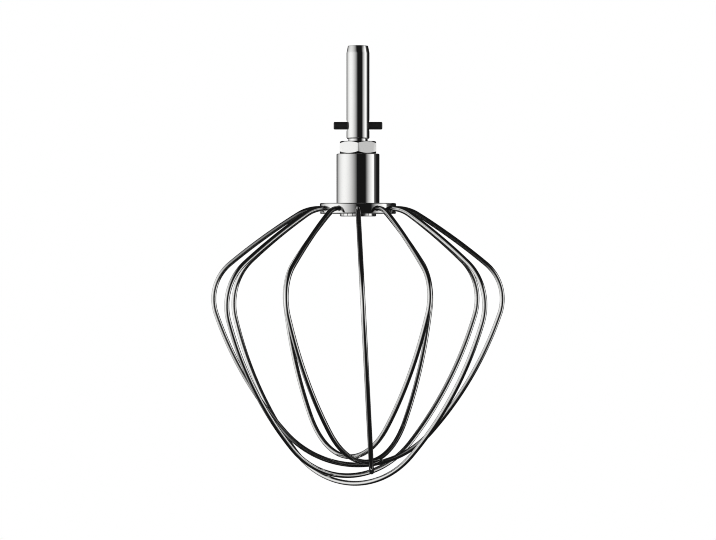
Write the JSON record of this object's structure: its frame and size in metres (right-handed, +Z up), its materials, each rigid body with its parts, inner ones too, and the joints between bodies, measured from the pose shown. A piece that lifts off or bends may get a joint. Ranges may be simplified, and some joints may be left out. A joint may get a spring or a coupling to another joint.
{
  "type": "stand mixer wire whisk",
  "caption": "Balloon whisk for a stand mixer: a polished shank with a dark cross pin, a lock nut, a hub and a disc that carries a cage of bent stainless wire loops.",
  "frame": {"origin": "centre of the shank's top end face", "axes": "+Z up along the shank towards the mixer, +X along the cross pin, -Y towards the camera of the picture"},
  "size_m": [0.122, 0.122, 0.182],
  "materials": {
    "polished_stainless": "turned and polished",
    "stainless_wire": "bright drawn wire",
    "blackened_steel": "black oxide"
  },
  "bodies": {
    "shank": {"drive_shank": "polished_stainless", "drive_pin": "blackened_steel"},
    "cage": {"lock_nut": "polished_stainless", "hub_sleeve": "polished_stainless", "wire_disc": "polished_stainless", "wire_loop_1": "stainless_wire", "wire_loop_2": "stainless_wire", "wire_loop_3": "stainless_wire", "wire_loop_4": "stainless_wire", "wire_loop_5": "stainless_wire", "wire_loop_6": "stainless_wire"}
  },
  "joints": [
    {"name": "height_adjust", "type": "slide", "parent": "shank", "child": "cage", "axis": [0, 0, 1], "range_m": [-0.006, 0.0008]}
  ]
}
